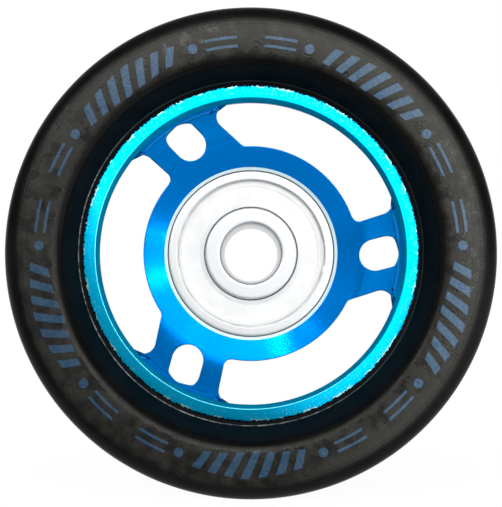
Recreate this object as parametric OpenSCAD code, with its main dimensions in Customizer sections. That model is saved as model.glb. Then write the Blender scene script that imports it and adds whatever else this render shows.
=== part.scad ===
// Quad roller skate wheel: a urethane tyre cast on a spoked aluminium hub, which runs on
// two ball bearings with a spacer between them. Sizes in millimetres.
// Z is up. The wheel turns about Y, and its outer face looks to -Y.
// Each piece is drawn on the Z axis with its outer face up, and on_axle() lays it down.

/* [Tyre] */
// Outside diameter of the tyre
tyre_d = 62; // [60:0.5:70]
// Width of the tyre across its two sidewalls
tyre_w = 43; // [38:0.5:48]
// Thickness of the tyre over the front corner of the rim
tyre_wall = 9.5; // [8:0.1:11]
// Radius of the shoulder between a sidewall and the tread
shoulder_r = 2; // [1:0.1:3]
// Radial width of the slope that rises from the hub to the front sidewall
front_slope_w = 2; // [1:0.1:3]
// Radial width of the slope that rises from the hub to the rear sidewall
rear_slope_w = 0.8; // [0.3:0.1:1.5]
// Radial width of the narrow lip where the tyre meets the hub's edge
lip_w = 0.5; // [0.2:0.1:0.8]
// Height of that lip above the outer corner of the hub's edge
lip_h = 0.2; // [0.1:0.05:0.5]

/* [Hub rim] */
// Thickness of the rim wall
rim_wall = 1.7; // [1.2:0.1:2.5]
// Depth of the front edge of the rim below the front sidewall
front_recess = 3.5; // [2:0.1:5]
// Depth of the rear edge of the rim below the rear sidewall
rear_recess = 5.5; // [3:0.1:8]
// Drop of the bevel on each edge of the rim
rim_bevel = 0.4; // [0.2:0.1:1.5]
// Angle by which the rim opens towards the rear, in degrees
rim_draft = 7.5; // [4:0.5:9]

/* [Hub spokes] */
// Number of spokes
spoke_n = 3; // [3:1:4]
// Width of a spoke
spoke_w = 9.5; // [7:0.1:11]
// Depth of a spoke along the axle, at the boss
spoke_t = 8; // [5:0.1:10]
// Depth of a spoke along the axle, at the rim
spoke_rim_t = 2.4; // [1.5:0.1:4]
// Angle between a spoke and its own ray, in degrees
spoke_slant = 18; // [10:0.5:25]
// Distance from the rim wall at which the middle line of a spoke crosses its own ray
spoke_inset = 3.2; // [2:0.1:5]
// Fillet between a spoke and the rim
rim_fillet = 1.6; // [0.6:0.1:1.9]
// Fillet between a spoke and the boss
boss_fillet = 1; // [0.5:0.1:1.5]
// Width of the slot in a spoke
slot_w = 4.1; // [2:0.1:5]
// Distance between the two end centres of the slot
slot_run = 1.6; // [0.5:0.1:2]
// Distance of the middle of the slot from the rim wall
slot_inset = 2.7; // [2.3:0.1:3.3]
// Angle between the slot and its own ray, in degrees
slot_slant = 14.5; // [0:0.5:25]
// Metal left between the slot and the rim wall
slot_land = 0.3; // [0.1:0.05:0.6]
// Metal left between the slot and the boss
slot_base = 0.1; // [0.05:0.05:0.6]

/* [Hub boss] */
// Wall of the boss around a bearing seat
boss_wall = 3.15; // [2.5:0.05:4]
// Height of the boss's faces above the bearings
boss_proud = 0.3; // [0.1:0.05:1]
// Depth of the shallow dish in the front face
dish_depth = 0.7; // [0.2:0.05:1]
// Width of the ring that the dish covers around the mouth of the front seat
dish_w = 3.8; // [3:0.1:4.5]
// Chamfer at the mouth of each bearing seat
seat_chamfer = 0.4; // [0.2:0.05:0.8]
// Height of the shoulder that stops a bearing
seat_shoulder = 0.8; // [0.4:0.1:1.2]
// Radial clearance of a bearing in its seat
seat_gap = 0.01; // [0:0.01:0.03]

/* [Bond between tyre and hub] */
// Number of rows of keys around the rim
key_rows = 2; // [1:1:3]
// Number of keys in a row
key_n = 8; // [4:1:12]
// Share of the turn that a row's keys fill
key_fill = 0.7; // [0.4:0.05:0.8]
// Height of a key above the rim
key_h = 1.2; // [0.6:0.1:1.8]
// Width of a key along the axle
key_w = 2.5; // [1.5:0.1:4]

/* [Bearings] */
// Outside diameter of a bearing
bearing_d = 22; // [21:0.5:24]
// Bore of a bearing, which takes the axle
bearing_bore = 8; // [7:0.5:8]
// Width of a bearing
bearing_w = 7; // [6.6:0.1:8]
// Chamfer on the corners of the rings
ring_chamfer = 0.3; // [0.1:0.05:0.4]
// Number of balls
ball_n = 7; // [6:1:7]
// Diameter of a ball
ball_d = 3.969; // [3.5:0.001:4.1]
// Running clearance between a ball and each race
race_gap = 0.03; // [0.02:0.01:0.05]
// Radius of a race groove as a share of the ball's radius
race_fit = 1.04; // [1.03:0.01:1.08]
// Wall of each ring at the lands beside its race groove
land_wall = 2.07; // [1.9:0.01:2.4]
// Wall of the outer ring around a shield
shield_wall = 1.2; // [1:0.05:1.4]
// Thickness of a shield
shield_t = 0.3; // [0.2:0.05:0.4]
// Radial gap between a shield and the inner ring
shield_gap = 0.15; // [0.1:0.05:0.3]
// Diameter of the wire of a shield's spring clip
clip_d = 0.4; // [0.3:0.05:0.5]
// Angle of the gap in a spring clip, in degrees
clip_split = 14; // [8:1:30]
// Lip of the outer ring outside a spring clip
clip_lip = 0.3; // [0.2:0.05:0.4]
// Radial width of the cage
cage_w = 1.5; // [1:0.1:1.8]
// Length by which the cage's prongs pass the middle of the balls
cage_grip = 0.8; // [0.5:0.1:1.2]
// Clearance between a ball and its pocket in the cage
pocket_gap = 0.05; // [0.03:0.01:0.08]

/* [Spacer] */
// Length of the spacer between the inner rings
spacer_l = 10; // [8:0.1:12]
// Wall of the spacer
spacer_wall = 1.4; // [1:0.1:1.6]
// Radial clearance of the spacer over the axle
spacer_gap = 0.01; // [0.005:0.005:0.02]

/* [Hidden] */
$fn = 96;

// Small play that keeps parts of one bearing from rubbing
play = 0.02;
// Running clearance between the cage and the shield beside it
cage_gap = 0.1;
// Length by which a cutting tool passes the face that it cuts
over = 1;
// Depth by which a fillet runs into the wall that it meets
fillet_sink = 0.05;
// Largest shares of the gap between boss and rim that the fillets may fill
rim_fillet_share = 0.4;
boss_fillet_share = 0.25;
// Distance in front of the spokes at which the rim starts to open
flare_lead = 0.3;

// Stack of bearings and spacer, measured from the middle of the wheel
stack_half = spacer_l / 2 + bearing_w;
boss_face = stack_half + boss_proud;
web_front = boss_face + dish_depth;
web_rear = web_front - spoke_t;
web_rim_rear = web_front - spoke_rim_t;

// Boss
seat_r = bearing_d / 2 + seat_gap;
mouth_r = seat_r + seat_chamfer;
boss_r = seat_r + boss_wall;
boss_core_r = boss_r - boss_wall / 2;
dish_r = mouth_r + dish_w;
// Height of the dished front face at a given radius
function dish_z(r) = web_front - dish_depth * (dish_r - r) / dish_w;

// Rim: a straight wall at the front, which opens towards the rear from just before the spokes
rim_r = tyre_d / 2 - tyre_wall;
rim_in = rim_r - rim_wall;
rim_front = tyre_w / 2 - front_recess;
rim_rear = rear_recess - tyre_w / 2;
flare_z = web_front + flare_lead;
function flare(z) = max(0, flare_z - z) * tan(rim_draft);
rim_front_corner = [rim_r, rim_front - rim_bevel];
rim_rear_corner = [rim_r + flare(rim_rear + rim_bevel), rim_rear + rim_bevel];
rim_bond = [rim_front_corner, [rim_r, flare_z], rim_rear_corner];

// Tyre
tread_r = tyre_d / 2;
side_z = tyre_w / 2;
side_r = tread_r - shoulder_r;
front_side_r = rim_r + lip_w + front_slope_w;
rear_side_r = rim_rear_corner.x + lip_w + rear_slope_w;

// Gap that the spokes bridge, and what takes its place and size from it
spoke_gap = rim_in - boss_r;
spoke_cross_r = rim_in - spoke_inset;
slot_r = rim_in - slot_inset;
rim_fillet_r = min(rim_fillet, spoke_gap * rim_fillet_share);
boss_fillet_r = min(boss_fillet, spoke_gap * boss_fillet_share);
// Spokes, seen from the front: the way a spoke runs, and the way across it
along = [cos(spoke_slant), sin(spoke_slant)];
across = [-sin(spoke_slant), cos(spoke_slant)];
// Distance from the axle, well past the rim, to which the outline of a spoke is drawn
spoke_reach = 2 * rim_r;
// Distance of an edge of the spoke from the axle, measured outwards from the spoke
function edge_offset(side) = spoke_w / 2 - side * spoke_cross_r * sin(spoke_slant);
// Point at a given distance from the axle on a line beside that edge
function beside_edge(side, gap, r) =
    let (off = edge_offset(side) + gap) side * off * across + sqrt(r * r - off * off) * along;
// Centres of the fillets between that edge and the boss or the rim, each sunk a little into both
function boss_fillet_centre(side) =
    beside_edge(side, boss_fillet_r - fillet_sink, boss_r - fillet_sink + boss_fillet_r);
function rim_fillet_centre(side) =
    beside_edge(side, rim_fillet_r - fillet_sink, rim_in + fillet_sink - rim_fillet_r);
// Points along one side of a spoke: in from the boss, along the edge, and out past the rim
function spoke_edge(side) =
    let (b = boss_fillet_centre(side), r = rim_fillet_centre(side)) [
        b * boss_core_r / norm(b),
        b,
        b - side * (boss_fillet_r - fillet_sink) * across,
        r - side * (rim_fillet_r - fillet_sink) * across,
        r,
        r * spoke_reach / norm(r),
    ];

// Ball bearing: the balls run midway between its bore and its outside
ball_r = ball_d / 2;
pitch_r = (bearing_d + bearing_bore) / 4;
race_r = ball_r * race_fit;
outer_race_r = pitch_r + ball_r + race_gap - race_r;
inner_race_r = pitch_r - ball_r - race_gap + race_r;
outer_land_r = bearing_d / 2 - land_wall;
inner_land_r = bearing_bore / 2 + land_wall;
ring_half = bearing_w / 2;
shield_r = bearing_d / 2 - shield_wall;
clip_z = ring_half - clip_lip - clip_d / 2 - play;
shield_z = clip_z - clip_d / 2 - play - shield_t;

// Lays a piece on the axle, with its outer face towards -Y
module on_axle() {
    rotate([90, 0, 0]) children();
}

// Puts a bearing in its seat, with its outboard side facing out of the wheel
module in_front_seat() {
    on_axle() translate([0, 0, spacer_l / 2 + ring_half]) children();
}

module in_rear_seat() {
    on_axle() rotate([180, 0, 0]) translate([0, 0, spacer_l / 2 + ring_half]) children();
}

// Turns a piece of the outboard side over to the inboard side
module inboard() {
    rotate([180, 0, 0]) children();
}

// Rows of keys on the rim, which lock the cast tyre against slipping
module bond_keys() {
    span = web_front - rim_rear;
    for (row = [1:key_rows], i = [0:key_n - 1]) {
        z = web_front - span * row / (key_rows + 1);
        r = rim_r + flare(z);
        rotate([0, 0, (i + row / 2) * 360 / key_n])
            rotate_extrude(angle = 360 / key_n * key_fill)
                translate([r - rim_wall / 2, z - key_w / 2])
                    square([rim_wall / 2 + key_h, key_w]);
    }
}

// Square corner outside a shoulder's circle, which is cut away to round the shoulder
module shoulder_waste() {
    difference() {
        square(shoulder_r + over);
        circle(shoulder_r);
    }
}

// Section of the tyre: two sidewalls, two slopes, the tread and the bond to the hub
module tyre_section() {
    difference() {
        polygon(concat(
            [for (i = [len(rim_bond) - 1:-1:0]) rim_bond[i]],
            [
                [rim_r + lip_w, rim_front_corner.y + lip_h],
                [front_side_r, side_z],
                [tread_r, side_z],
                [tread_r, -side_z],
                [rear_side_r, -side_z],
                [rim_rear_corner.x + lip_w, rim_rear_corner.y - lip_h],
            ]
        ));
        translate([side_r, side_z - shoulder_r]) shoulder_waste();
        translate([side_r, shoulder_r - side_z]) rotate(-90) shoulder_waste();
    }
}

module tyre() {
    color("#2b2927")
        on_axle() difference() {
            rotate_extrude() tyre_section();
            bond_keys();
        }
}

// Rim of the hub: the bond to the tyre outside, bevelled edges, and a flared wall inside
module rim() {
    rotate_extrude()
        polygon(concat(
            [[rim_in, rim_front]],
            rim_bond,
            [[rim_in + flare(rim_rear), rim_rear], [rim_in, flare_z]]
        ));
    bond_keys();
}

// Boss of the hub: two bearing seats with a shoulder between them
module boss() {
    rotate_extrude()
        polygon([
            [seat_r - seat_shoulder, spacer_l / 2],
            [seat_r, spacer_l / 2],
            [seat_r, boss_face - seat_chamfer],
            [mouth_r + dish_depth, web_front],
            [boss_r, web_front],
            [boss_r, -boss_face],
            [mouth_r, -boss_face],
            [seat_r, seat_chamfer - boss_face],
            [seat_r, -spacer_l / 2],
            [seat_r - seat_shoulder, -spacer_l / 2],
        ]);
}

// Outline of one spoke that points along X: its two edges, opening at both ends, and four fillet circles
module spoke_outline() {
    upper = spoke_edge(1);
    lower = spoke_edge(-1);
    difference() {
        polygon(concat(upper, [for (i = [len(lower) - 1:-1:0]) lower[i]]));
        for (side = [-1, 1]) {
            translate(boss_fillet_centre(side)) circle(boss_fillet_r);
            translate(rim_fillet_centre(side)) circle(rim_fillet_r);
        }
    }
}

// Outline of the slot in a spoke, which stops short of the boss and of the rim wall
module slot_outline() {
    intersection() {
        translate([slot_r, 0])
            rotate(slot_slant)
                union() {
                    square([slot_run, slot_w], center = true);
                    for (s = [-1, 1])
                        translate([s * slot_run / 2, 0]) circle(d = slot_w);
                }
        difference() {
            circle(rim_in - slot_land);
            circle(boss_r + slot_base);
        }
    }
}

// Spokes: they end inside the boss's wall and inside the rim's flared wall, and thin out towards the rim
module spokes() {
    rim_core = rim_in + rim_wall / 2;
    intersection() {
        for (i = [0:spoke_n - 1])
            rotate([0, 0, i * 360 / spoke_n])
                translate([0, 0, web_rear - over])
                    linear_extrude(spoke_t + 2 * over) spoke_outline();
        rotate_extrude()
            polygon([
                [boss_core_r, web_front],
                [rim_core + flare(web_front), web_front],
                [rim_core + flare(web_rim_rear), web_rim_rear],
                [boss_core_r, web_rear],
            ]);
    }
}

// Cutter for the shallow dish in the front face, around the mouth of the seat
module dish() {
    bottom_r = seat_r - over;
    top_r = (dish_r + rim_in) / 2;
    rotate_extrude()
        polygon([
            [bottom_r, dish_z(bottom_r)],
            [top_r, dish_z(top_r)],
            [top_r, web_front + over],
            [bottom_r, web_front + over],
        ]);
}

module hub() {
    color("#0a6fc4")
        on_axle() difference() {
            union() {
                rim();
                boss();
                spokes();
            }
            for (i = [0:spoke_n - 1])
                rotate([0, 0, i * 360 / spoke_n])
                    translate([0, 0, web_rear - over])
                        linear_extrude(spoke_t + 2 * over) slot_outline();
            dish();
        }
}

module axle_spacer() {
    inner = bearing_bore / 2 + spacer_gap;
    color("#b9bcc0")
        on_axle() rotate_extrude()
            translate([inner, -spacer_l / 2]) square([spacer_wall, spacer_l]);
}

// Outer ring: a ball race inside, and on each side a step for a shield and a groove for its clip
module outer_ring() {
    half = [
        [outer_land_r, shield_z],
        [shield_r, shield_z],
        [shield_r, ring_half],
        [bearing_d / 2 - ring_chamfer, ring_half],
        [bearing_d / 2, ring_half - ring_chamfer],
    ];
    other_half = [for (i = [len(half) - 1:-1:0]) [half[i].x, -half[i].y]];
    color("#d6d8da")
        rotate_extrude() difference() {
            polygon(concat(half, other_half));
            translate([outer_race_r, 0]) circle(race_r);
            for (s = [-1, 1])
                translate([shield_r, s * clip_z]) circle(clip_d / 2 + play);
        }
}

// Inner ring: the bore for the axle, and a ball race outside
module inner_ring() {
    bore_r = bearing_bore / 2;
    color("#d6d8da")
        rotate_extrude() difference() {
            polygon([
                [bore_r, ring_chamfer - ring_half],
                [bore_r + ring_chamfer, -ring_half],
                [inner_land_r - ring_chamfer, -ring_half],
                [inner_land_r, ring_chamfer - ring_half],
                [inner_land_r, ring_half - ring_chamfer],
                [inner_land_r - ring_chamfer, ring_half],
                [bore_r + ring_chamfer, ring_half],
                [bore_r, ring_half - ring_chamfer],
            ]);
            translate([inner_race_r, 0]) circle(race_r);
        }
}

// Puts one copy at each ball's place
module at_balls() {
    for (i = [0:ball_n - 1])
        rotate([0, 0, i * 360 / ball_n]) translate([pitch_r, 0, 0]) children();
}

module balls() {
    color("#e4e6e8") at_balls() sphere(ball_r);
}

// Crown cage: a ring on the outboard side, with prongs that reach between the balls
module cage() {
    top = shield_z - cage_gap;
    color("#efeae0")
        difference() {
            rotate_extrude()
                translate([pitch_r - cage_w / 2, -cage_grip]) square([cage_w, top + cage_grip]);
            at_balls() sphere(ball_r + pocket_gap);
        }
}

module shield() {
    inner = inner_land_r + shield_gap;
    color("#f4f4f2")
        rotate_extrude()
            translate([inner, shield_z]) square([shield_r - play - inner, shield_t]);
}

// Spring clip: an open ring of wire, half of it in the outer ring's groove
module clip() {
    color("#c4c6c8")
        rotate([0, 0, clip_split / 2])
            rotate_extrude(angle = 360 - clip_split)
                translate([shield_r, clip_z]) circle(clip_d / 2);
}

tyre();
hub();
axle_spacer();
in_front_seat() outer_ring();  // front_bearing_outer_ring
in_front_seat() inner_ring();  // front_bearing_inner_ring
in_front_seat() balls();  // front_bearing_balls
in_front_seat() cage();  // front_bearing_cage
in_front_seat() shield();  // front_bearing_outboard_shield
in_front_seat() inboard() shield();  // front_bearing_inboard_shield
in_front_seat() clip();  // front_bearing_outboard_clip
in_front_seat() inboard() clip();  // front_bearing_inboard_clip
in_rear_seat() outer_ring();  // rear_bearing_outer_ring
in_rear_seat() inner_ring();  // rear_bearing_inner_ring
in_rear_seat() balls();  // rear_bearing_balls
in_rear_seat() cage();  // rear_bearing_cage
in_rear_seat() shield();  // rear_bearing_outboard_shield
in_rear_seat() inboard() shield();  // rear_bearing_inboard_shield
in_rear_seat() clip();  // rear_bearing_outboard_clip
in_rear_seat() inboard() clip();  // rear_bearing_inboard_clip
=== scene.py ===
# %% [markdown]
# # A roller skate wheel
# A quad skate wheel is a thick urethane tyre cast on an aluminium hub. Two ball bearings sit in the hub,
# with a spacer between them, and an 8 mm axle runs through the middle.
# The imported solids already give every size and every joint, so this lesson loads them first
# and keeps their box, whose lowest point sets the floor of the studio.

import bpy
import numpy as np
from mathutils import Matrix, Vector


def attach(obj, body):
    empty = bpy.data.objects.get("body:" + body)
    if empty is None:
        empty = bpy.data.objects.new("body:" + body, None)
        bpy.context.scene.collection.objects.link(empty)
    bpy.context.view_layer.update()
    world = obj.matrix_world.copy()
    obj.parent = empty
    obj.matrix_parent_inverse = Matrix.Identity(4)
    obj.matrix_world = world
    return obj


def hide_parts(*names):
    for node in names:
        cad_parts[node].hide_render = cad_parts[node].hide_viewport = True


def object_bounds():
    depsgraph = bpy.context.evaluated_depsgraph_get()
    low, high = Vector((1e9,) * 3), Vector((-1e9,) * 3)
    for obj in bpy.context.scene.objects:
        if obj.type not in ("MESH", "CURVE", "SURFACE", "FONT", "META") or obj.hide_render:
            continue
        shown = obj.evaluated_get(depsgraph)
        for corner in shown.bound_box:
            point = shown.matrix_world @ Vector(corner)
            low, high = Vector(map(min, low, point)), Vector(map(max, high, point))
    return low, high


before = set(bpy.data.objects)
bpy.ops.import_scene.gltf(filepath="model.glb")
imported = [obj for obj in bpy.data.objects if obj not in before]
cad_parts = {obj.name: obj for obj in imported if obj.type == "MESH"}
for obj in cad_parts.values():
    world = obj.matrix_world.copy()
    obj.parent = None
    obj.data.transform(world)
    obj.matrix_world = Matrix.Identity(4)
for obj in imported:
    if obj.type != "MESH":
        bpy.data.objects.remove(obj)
cad_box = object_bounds()
scene = bpy.context.scene
scene.view_settings.view_transform = "Standard"

# %% [markdown]
# ## Points around an axle
# Nearly every piece of a wheel is turned: one outline is carried round the axle.
# Blender's Spin or Screw could do that, but whole arrays are quicker and give exact places.
# So a point is written as a radius, a turn angle and a distance towards the front, all in millimetres,
# and one function lays it on the axle, which is the Y axis, with the front towards -Y.
# A second function rounds the corners of an outline, since no real edge is sharp.

# %% Lay points on the axle
MM = 0.001


def on_axle(radius, turn, front):
    """X is radius times cos(turn), Z is radius times sin(turn), and Y is minus the front distance."""
    radius, turn, front = np.broadcast_arrays(radius, turn, front)
    return MM * np.stack([radius * np.cos(turn), -front, radius * np.sin(turn)], axis=-1)


print("10 mm above the axle:", on_axle(10.0, np.pi / 2, 0.0).round(4))

# %% Round the corners of an outline
CUT_ROOM, LEAD_SHARE, LEAD_ROOM = 0.4, 1.5, 0.48


def lengths(vectors):
    """Length of each row: the root of the sum of its squares."""
    return np.linalg.norm(vectors, axis=-1, keepdims=True)


def softened(corners, cuts, steps=7):
    """A closed outline with round corners. Each corner is cut back by its own length along both edges.
    A circle's arc joins the two ends: start, corner and end are mixed as a quadratic curve in which the
    corner counts with the sine of half its angle. A point beyond each end keeps the flats flat."""
    corners = np.array(corners, float)
    back = np.roll(corners, 1, axis=0) - corners
    ahead = np.roll(corners, -1, axis=0) - corners
    room = np.minimum(lengths(back), lengths(ahead))
    back /= lengths(back)
    ahead /= lengths(ahead)
    cut = np.minimum(np.broadcast_to(cuts, len(corners))[:, None], CUT_ROOM * room)
    lead = np.minimum(LEAD_SHARE * cut, LEAD_ROOM * room)
    weight = np.sin(np.arccos(np.clip((back * ahead).sum(axis=1), -1, 1)) / 2)[:, None, None]
    t = np.linspace(0, 1, steps)[None, :, None]
    start, middle, end = (1 - t) ** 2, 2 * t * (1 - t) * weight, t ** 2
    mixed = start * (corners + back * cut)[:, None] + middle * corners[:, None]
    arc = (mixed + end * (corners + ahead * cut)[:, None]) / (start + middle + end)
    outer = [(corners + back * lead)[:, None], arc, (corners + ahead * lead)[:, None]]
    return np.concatenate(outer, axis=1).reshape(-1, 2)


print("a softened triangle has", len(softened([(0, 0), (1, 0), (0, 1)], 0.1)), "points")

# %% [markdown]
# ## From grids to meshes
# A turned piece is a grid that closes both ways, like the skin of a ring: round the axle and round its
# outline. The same holds for a spoke with a slot in it. So one helper makes the faces of such a grid,
# and turns them outwards by the sign of the volume that they enclose. A second helper fills the mesh.

# %% Faces of a grid
def ring_skin(points):
    """Faces of a grid that closes on itself in both directions. The enclosed volume is the sum of the
    corner triple products, and where it is negative the faces are reversed."""
    rows, columns = points.shape[:2]
    index = np.arange(rows * columns).reshape(rows, columns)
    across = np.roll(index, -1, axis=0)
    quads = np.stack([index, across, np.roll(across, -1, axis=1), np.roll(index, -1, axis=1)], axis=-1)
    quads = quads.reshape(-1, 4)
    flat = points.reshape(-1, 3)
    a, b, c, d = (flat[quads[:, k]] for k in range(4))
    volume = (np.cross(a, b) * c).sum() + (np.cross(a, c) * d).sum()
    return flat, quads if volume > 0 else quads[:, ::-1]


def turned(outline, turns=192):
    """The outline, pairs of radius and front distance, carried round the axle in equal steps."""
    angle = np.linspace(0, 2 * np.pi, turns, endpoint=False)[:, None]
    return ring_skin(on_axle(outline[None, :, 0], angle, outline[None, :, 1]))


small_ring = turned(softened([(9, 1), (10, 1), (10, -1), (9, -1)], 0.1), turns=24)
print("a ring turned in 24 steps has", len(small_ring[1]), "faces")

# %% Pieces from faces
TINY_AREA = 1e-15


def make_piece(name, skins, finishes, choose=None):
    """One object from several skins. choose gets the radius and front distance of each face's middle,
    in millimetres, and how far the face looks to the front, from -1 to 1: the front part of its unit
    normal, which is the cross product of its diagonals. It returns the number of the face's finish."""
    starts = np.cumsum([0] + [len(points) for points, _ in skins])
    points = np.concatenate([points for points, _ in skins])
    quads = np.concatenate([quads + start for (_, quads), start in zip(skins, starts)])
    mesh = bpy.data.meshes.new(name)
    mesh.vertices.add(len(points))
    mesh.vertices.foreach_set("co", points.ravel())
    mesh.loops.add(quads.size)
    mesh.loops.foreach_set("vertex_index", quads.ravel())
    mesh.polygons.add(len(quads))
    mesh.polygons.foreach_set("loop_start", np.arange(0, quads.size, 4))
    mesh.polygons.foreach_set("use_smooth", np.ones(len(quads), bool))
    for finish in finishes:
        mesh.materials.append(finish)
    if choose:
        corner = points[quads]
        middle = corner.mean(axis=1) / MM
        normal = np.cross(corner[:, 2] - corner[:, 0], corner[:, 3] - corner[:, 1])
        facing = -normal[:, 1] / np.maximum(lengths(normal)[:, 0], TINY_AREA)
        number = choose(np.hypot(middle[:, 0], middle[:, 2]), -middle[:, 1], facing)
        mesh.polygons.foreach_set("material_index", np.asarray(number, np.int32))
    mesh.update(calc_edges=True)
    piece = bpy.data.objects.new(name, mesh)
    scene.collection.objects.link(piece)
    print(name, "has", len(points), "points and", len(quads), "faces")
    return piece


def dress(piece, node, body):
    """The piece stands for the node, which is hidden, and moves with the body."""
    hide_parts(node)
    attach(piece, body)


# %% [markdown]
# ## Finishes
# A finish is a small tree of nodes. It could be wired by hand in the shader editor, but a script can be
# read and changed later. These helpers keep the trees short: `add` makes a node and sets or links its
# inputs, `maths` does one sum, `ramp` turns a value into a soft step from 0 to 1, `spread` stretches it,
# and `new_finish` makes a material with one Principled shader, whose sockets the last three helpers fill.

# %% Node helpers
def add(tree, kind, inputs=None, **settings):
    """One node, with its own settings. An input is a number or colour to set, or a socket to link."""
    node = tree.nodes.new(kind)
    for key, value in settings.items():
        setattr(node, key, value)
    for key, value in (inputs or {}).items():
        if isinstance(value, bpy.types.NodeSocket):
            tree.links.new(value, node.inputs[key])
        else:
            node.inputs[key].default_value = value
    return node


def maths(tree, operation, *values):
    """One sum on values or sockets."""
    return add(tree, "ShaderNodeMath", dict(enumerate(values)), operation=operation).outputs[0]


def times(tree, first, second):
    """The product of two values or sockets."""
    return maths(tree, "MULTIPLY", first, second)


def ramp(tree, value, low, high):
    """A soft step: 0 at low and beyond, 1 at high and beyond, whichever of the two is larger. Between them it
    is three times the square of the share minus twice its cube."""
    inputs = {"Value": value, "From Min": low, "From Max": high}
    return add(tree, "ShaderNodeMapRange", inputs, interpolation_type="SMOOTHSTEP").outputs[0]


def spread(tree, value, low, high):
    """A value from 0 to 1 stretched to run from low to high."""
    return add(tree, "ShaderNodeMapRange", {"Value": value, "To Min": low, "To Max": high}).outputs[0]


def mix(tree, factor, first, second):
    """Two colours mixed by a factor."""
    return add(tree, "ShaderNodeMix", {0: factor, 6: first, 7: second}, data_type="RGBA").outputs[2]


def colour(red, green, blue):
    """A solid colour."""
    return (red, green, blue, 1.0)


# %% Finish helpers
def new_finish(name, **constants):
    """A material with one Principled shader, and what is the same all over set on its own sockets."""
    finish = bpy.data.materials.new(name)
    finish.use_nodes = True
    shader = finish.node_tree.nodes["Principled BSDF"]
    for key, value in constants.items():
        shader.inputs[key.replace("_", " ")].default_value = value
    return finish, finish.node_tree, shader.inputs


def paint(tree, sockets, factor, first, second):
    """The base colour runs from the first colour to the second with the factor."""
    tree.links.new(mix(tree, factor, first, second), sockets["Base Color"])


def roughen(tree, sockets, value, low, high):
    """The roughness runs from low to high with the value."""
    tree.links.new(spread(tree, value, low, high), sockets["Roughness"])


def emboss(tree, sockets, height, strength, depth):
    """The height shows as a bump. A height of one stands for the depth, in millimetres."""
    bump = add(tree, "ShaderNodeBump", {"Strength": strength, "Distance": depth * MM, "Height": height})
    tree.links.new(bump.outputs[0], sockets["Normal"])


# %% [markdown]
# ## Shared effects
# Four effects come back in many finishes, so each is a node group that a finish takes with its own values.
# The first gives polar measures in millimetres, because a wheel's marks follow its rings.
# The second is a fine grain with larger soft patches. The third is the row of fine rings that a lathe tool
# leaves. The fourth marks the lower left of the wheel as seen from the front, where the print is darker, the
# spokes are left in painted shade, and the lip and the bevel get painted highlights.

# %% Polar measures
def new_group(name, inputs, outputs):
    """An empty node group with named value sockets."""
    tree = bpy.data.node_groups.new(name, "ShaderNodeTree")
    for key, value in inputs.items():
        tree.interface.new_socket(key, in_out="INPUT", socket_type="NodeSocketFloat").default_value = value
    for key in outputs:
        tree.interface.new_socket(key, in_out="OUTPUT", socket_type="NodeSocketFloat")
    return tree, tree.nodes.new("NodeGroupInput"), tree.nodes.new("NodeGroupOutput")


def object_xyz(tree):
    """X, Y and Z of the place on the piece, in metres."""
    where = add(tree, "ShaderNodeTexCoord").outputs["Object"]
    return add(tree, "ShaderNodeSeparateXYZ", {0: where}).outputs


def diagonal(tree, first, second):
    """The root of the sum of two squares."""
    return maths(tree, "SQRT", maths(tree, "ADD", maths(tree, "POWER", first, 2.0),
                                     maths(tree, "POWER", second, 2.0)))


polar, _, polar_out = new_group("wheel_polar", {}, ["Radius", "Turn", "Front"])
spot_x, spot_y, spot_z = object_xyz(polar)
polar.links.new(times(polar, diagonal(polar, spot_x, spot_z), 1 / MM), polar_out.inputs["Radius"])
turn_angle = maths(polar, "ARCTAN2", spot_z, spot_x)
polar.links.new(maths(polar, "DIVIDE", turn_angle, 2 * np.pi), polar_out.inputs["Turn"])
polar.links.new(times(polar, spot_y, -1 / MM), polar_out.inputs["Front"])
print("group:", polar.name)

# %% Grain
NOISE_LOW, NOISE_HIGH = 0.3, 0.7
grain, grain_in, grain_out = new_group("fine_grain", {"Size": 0.2, "Patch": 4.0}, ["Grain", "Patches"])
grain_place = add(grain, "ShaderNodeTexCoord").outputs["Object"]
for size, output, detail in (("Size", "Grain", 3.0), ("Patch", "Patches", 2.0)):
    noise_scale = maths(grain, "DIVIDE", 1 / MM, grain_in.outputs[size])
    noise = add(grain, "ShaderNodeTexNoise", {"Vector": grain_place, "Scale": noise_scale, "Detail": detail})
    grain.links.new(ramp(grain, noise.outputs[0], NOISE_LOW, NOISE_HIGH), grain_out.inputs[output])
print("group:", grain.name)

# %% Lathe rings
SWAY_STEP, WAVE_SHARE = 0.6, 0.25


def place(tree, group, **inputs):
    """A group placed in another tree, with its own values."""
    return add(tree, "ShaderNodeGroup", inputs, node_tree=group)


rings, rings_in, rings_out = new_group("lathe_rings", {"Pitch": 0.2, "Along": 0.0}, ["Height"])
rings_polar = place(rings, polar).outputs
tool_ways = {0: rings_in.outputs["Along"], 2: rings_polar["Radius"], 3: rings_polar["Front"]}
tool_place = add(rings, "ShaderNodeMix", tool_ways).outputs[0]
tool_step = maths(rings, "DIVIDE", tool_place, rings_in.outputs["Pitch"])
sway_inputs = {"W": times(rings, tool_step, SWAY_STEP), "Scale": 1.0, "Detail": 2.0}
tool_sway = add(rings, "ShaderNodeTexNoise", sway_inputs, noise_dimensions="1D").outputs[0]
tool_wave = maths(rings, "SINE", times(rings, tool_step, 2 * np.pi))
tool_height = maths(rings, "ADD", times(rings, tool_wave, WAVE_SHARE), tool_sway)
rings.links.new(tool_height, rings_out.inputs["Height"])
print("group:", rings.name)

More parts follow.
